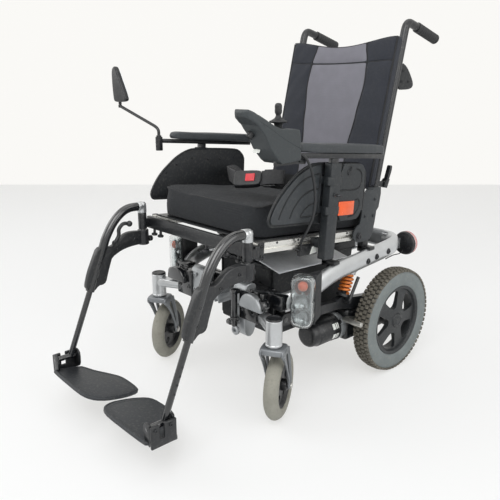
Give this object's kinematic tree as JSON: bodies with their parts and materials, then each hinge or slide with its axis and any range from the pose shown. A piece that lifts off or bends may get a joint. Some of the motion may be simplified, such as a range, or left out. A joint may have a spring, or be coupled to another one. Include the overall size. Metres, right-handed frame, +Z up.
{
  "type": "power wheelchair",
  "caption": "Rear-drive power wheelchair with a black padded seat, reclining back, arm-mounted joystick, swing-away legrests with flip-up footplates, castors, lamps and a side mirror.",
  "frame": {"origin": "on the floor, midway between the drive wheels, directly under their axle", "axes": "+Z up, the chair faces -Y, +X towards the occupant's left (the joystick side)"},
  "size_m": [0.7953, 1.1713, 1.0952],
  "materials": {
    "silver_frame": "silver powder coat",
    "black_frame": "black powder coat",
    "cast_alloy": "sand-cast and painted",
    "rail": "anodised",
    "box_plastic": "textured",
    "cover_plastic": "textured grey",
    "battery": "moulded case",
    "module": "black anodised",
    "lamp": "clear lens on a grey shell",
    "rear_lamp": "lens on a black shell",
    "motor": "black paint",
    "lever_steel": "zinc plated",
    "spring": "copper-orange coat",
    "wheel": "grey tyre on a dark moulded rim",
    "castor_fork": "silver paint",
    "upholstery": "black stretch fabric",
    "back_fabric": "black with a grey middle panel",
    "guard": "dark moulded panel",
    "pad": "foamed skin",
    "joystick": "fine texture",
    "joystick_dark": "boot rubber",
    "button_red": "gloss",
    "cable": "cable sheath",
    "mirror_shell": "gloss black with a mirror face",
    "webbing": "woven webbing",
    "footplate": "ribbed plastic",
    "foot_tube": "dark satin tube"
  },
  "bodies": {
    "chassis": {"side_tube_left": "silver_frame", "side_tube_right": "silver_frame", "rear_cross_tube": "cast_alloy", "front_cross_beam": "black_frame", "castor_arm_left": "castor_fork", "castor_arm_right": "castor_fork", "battery_box": "box_plastic", "batteries": "battery", "battery_cover": "cover_plastic", "power_module": "module", "front_lamp_left": "lamp", "front_lamp_right": "lamp", "rear_lamp_left": "rear_lamp", "rear_lamp_right": "rear_lamp", "spring_left": "spring", "spring_right": "spring", "seat_frame": "rail", "seat_pan": "box_plastic", "seat_cushion": "upholstery", "side_guard_left": "guard", "side_guard_right": "guard", "lap_belt": "webbing", "belt_buckle": "box_plastic", "joystick_cable": "cable"},
    "drive_unit_left": {"swing_arm_left": "black_frame", "motor_left": "motor"},
    "freewheel_left": {"freewheel_lever_left": "lever_steel"},
    "wheel_left": {"drive_wheel_left": "wheel"},
    "castor_swivel_left": {"castor_fork_left": "castor_fork"},
    "castor_roller_left": {"castor_wheel_left": "wheel"},
    "arm_left": {"armrest_left": "black_frame", "arm_pad_left": "pad", "joystick_housing": "joystick"},
    "back_lock_left": {"back_lever_left": "box_plastic"},
    "legrest_left": {"legrest_hanger_left": "black_frame"},
    "legrest_release_left": {"legrest_lever_left": "box_plastic"},
    "foot_stem_left": {"footplate_tube_left": "foot_tube"},
    "foot_left": {"footplate_left": "footplate"},
    "drive_unit_right": {"swing_arm_right": "black_frame", "motor_right": "motor"},
    "freewheel_right": {"freewheel_lever_right": "lever_steel"},
    "wheel_right": {"drive_wheel_right": "wheel"},
    "castor_swivel_right": {"castor_fork_right": "castor_fork"},
    "castor_roller_right": {"castor_wheel_right": "wheel"},
    "arm_right": {"armrest_right": "black_frame", "arm_pad_right": "pad"},
    "back_lock_right": {"back_lever_right": "box_plastic"},
    "legrest_right": {"legrest_hanger_right": "black_frame"},
    "legrest_release_right": {"legrest_lever_right": "box_plastic"},
    "foot_stem_right": {"footplate_tube_right": "foot_tube"},
    "foot_right": {"footplate_right": "footplate"},
    "gimbal": {"joystick_gimbal": "joystick_dark"},
    "stick": {"joystick_stick": "joystick_dark"},
    "power_key": {"power_button": "button_red"},
    "mirror_arm": {"mirror_arm": "black_frame"},
    "mirror_head": {"mirror_head": "mirror_shell"},
    "backrest": {"back_cane_left": "black_frame", "back_cane_right": "black_frame", "back_cushion": "back_fabric"},
    "belt_release": {"belt_button": "button_red"}
  },
  "joints": [
    {"name": "suspension_left", "type": "hinge", "parent": "chassis", "child": "drive_unit_left", "pos_m": [0, -0.45, 0.275], "axis": [1, 0, 0], "range_deg": [0, 3.5], "stiffness_Nm_per_rad": 1600, "springref_deg": -6.88, "deforming": ["spring_left"]},
    {"name": "drive_left", "type": "hinge", "parent": "drive_unit_left", "child": "wheel_left", "pos_m": [0.269, 0, 0.1705], "axis": [1, 0, 0], "continuous": true},
    {"name": "freewheel_left_turn", "type": "hinge", "parent": "drive_unit_left", "child": "freewheel_left", "pos_m": [0.224, -0.135, 0.186], "axis": [1, 0, 0], "range_deg": [0, 40]},
    {"name": "castor_left_swivel", "type": "hinge", "parent": "chassis", "child": "castor_swivel_left", "pos_m": [0.267, -0.537, 0.275], "axis": [0, 0, 1], "continuous": true},
    {"name": "castor_left_roll", "type": "hinge", "parent": "castor_swivel_left", "child": "castor_roller_left", "pos_m": [0.24033, -0.4889, 0.1], "axis": [0.8746, 0.4848, 0], "continuous": true},
    {"name": "armrest_left_height", "type": "slide", "parent": "chassis", "child": "arm_left", "axis": [0, 0.0785, 0.9969], "range_m": [0, 0.08], "deforming": ["joystick_cable"]},
    {"name": "back_lever_left_turn", "type": "hinge", "parent": "backrest", "child": "back_lock_left", "pos_m": [0.205, 0.00381, 0.60105], "axis": [-1, 0, 0], "range_deg": [0, 60]},
    {"name": "legrest_left_swing", "type": "hinge", "parent": "chassis", "child": "legrest_left", "pos_m": [0.24, -0.605, 0.5], "axis": [0, 0, 1], "range_deg": [0, 90]},
    {"name": "legrest_left_release", "type": "hinge", "parent": "legrest_left", "child": "legrest_release_left", "pos_m": [0.223, -0.712, 0.454], "axis": [-1, 0, 0], "range_deg": [0, 12], "stiffness_Nm_per_rad": 0.8, "springref_deg": -11.46},
    {"name": "legrest_left_length", "type": "slide", "parent": "legrest_left", "child": "foot_stem_left", "axis": [0, -0.385, -0.9229], "range_m": [-0.05, 0.05]},
    {"name": "footplate_left_flip", "type": "hinge", "parent": "foot_stem_left", "child": "foot_left", "pos_m": [0.24, -0.87, 0.139], "axis": [0, 1, 0], "range_deg": [0, 90]},
    {"name": "suspension_right", "type": "hinge", "parent": "chassis", "child": "drive_unit_right", "pos_m": [0, -0.45, 0.275], "axis": [1, 0, 0], "range_deg": [0, 3.5], "stiffness_Nm_per_rad": 1600, "springref_deg": -6.88, "deforming": ["spring_right"]},
    {"name": "drive_right", "type": "hinge", "parent": "drive_unit_right", "child": "wheel_right", "pos_m": [-0.269, 0, 0.1705], "axis": [1, 0, 0], "continuous": true},
    {"name": "freewheel_right_turn", "type": "hinge", "parent": "drive_unit_right", "child": "freewheel_right", "pos_m": [-0.224, -0.135, 0.186], "axis": [1, 0, 0], "range_deg": [0, 40]},
    {"name": "castor_right_swivel", "type": "hinge", "parent": "chassis", "child": "castor_swivel_right", "pos_m": [-0.267, -0.537, 0.275], "axis": [0, 0, 1], "continuous": true},
    {"name": "castor_right_roll", "type": "hinge", "parent": "castor_swivel_right", "child": "castor_roller_right", "pos_m": [-0.29367, -0.4889, 0.1], "axis": [0.8746, 0.4848, 0], "continuous": true},
    {"name": "armrest_right_height", "type": "slide", "parent": "chassis", "child": "arm_right", "axis": [0, 0.0785, 0.9969], "range_m": [0, 0.08]},
    {"name": "back_lever_right_turn", "type": "hinge", "parent": "backrest", "child": "back_lock_right", "pos_m": [-0.205, 0.00381, 0.60105], "axis": [-1, 0, 0], "range_deg": [0, 60]},
    {"name": "legrest_right_swing", "type": "hinge", "parent": "chassis", "child": "legrest_right", "pos_m": [-0.24, -0.605, 0.5], "axis": [0, 0, -1], "range_deg": [0, 90]},
    {"name": "legrest_right_release", "type": "hinge", "parent": "legrest_right", "child": "legrest_release_right", "pos_m": [-0.223, -0.712, 0.454], "axis": [-1, 0, 0], "range_deg": [0, 12], "stiffness_Nm_per_rad": 0.8, "springref_deg": -11.46},
    {"name": "legrest_right_length", "type": "slide", "parent": "legrest_right", "child": "foot_stem_right", "axis": [0, -0.385, -0.9229], "range_m": [-0.05, 0.05]},
    {"name": "footplate_right_flip", "type": "hinge", "parent": "foot_stem_right", "child": "foot_right", "pos_m": [-0.24, -0.87, 0.139], "axis": [0, -1, 0], "range_deg": [0, 90]},
    {"name": "joystick_fore_aft", "type": "hinge", "parent": "arm_left", "child": "gimbal", "pos_m": [0.262, -0.526, 0.794], "axis": [1, 0, 0], "range_deg": [-15, 15], "stiffness_Nm_per_rad": 0.4},
    {"name": "joystick_sideways", "type": "hinge", "parent": "gimbal", "child": "stick", "pos_m": [0.262, -0.526, 0.794], "axis": [0, 1, 0], "range_deg": [-15, 15], "stiffness_Nm_per_rad": 0.3},
    {"name": "power_button_press", "type": "slide", "parent": "arm_left", "child": "power_key", "axis": [0, -0.4478, -0.8942], "range_m": [0, 0.0015], "stiffness_N_per_m": 600, "springref_m": -0.001},
    {"name": "mirror_arm_turn", "type": "hinge", "parent": "arm_right", "child": "mirror_arm", "pos_m": [-0.282, -0.505, 0.748], "axis": [0, 0, 1], "range_deg": [-60, 60]},
    {"name": "mirror_head_turn", "type": "hinge", "parent": "mirror_arm", "child": "mirror_head", "pos_m": [-0.443, -0.541, 0.84], "axis": [0, 0, 1], "range_deg": [-40, 40]},
    {"name": "backrest_recline", "type": "hinge", "parent": "chassis", "child": "backrest", "pos_m": [0, -0.16403, 0.46737], "axis": [-1, 0, 0], "range_deg": [-5, 20]},
    {"name": "belt_button_press", "type": "slide", "parent": "chassis", "child": "belt_release", "axis": [-0.388, 0.6355, -0.6675], "range_m": [0, 0.002], "stiffness_N_per_m": 800, "springref_m": -0.0015}
  ]
}
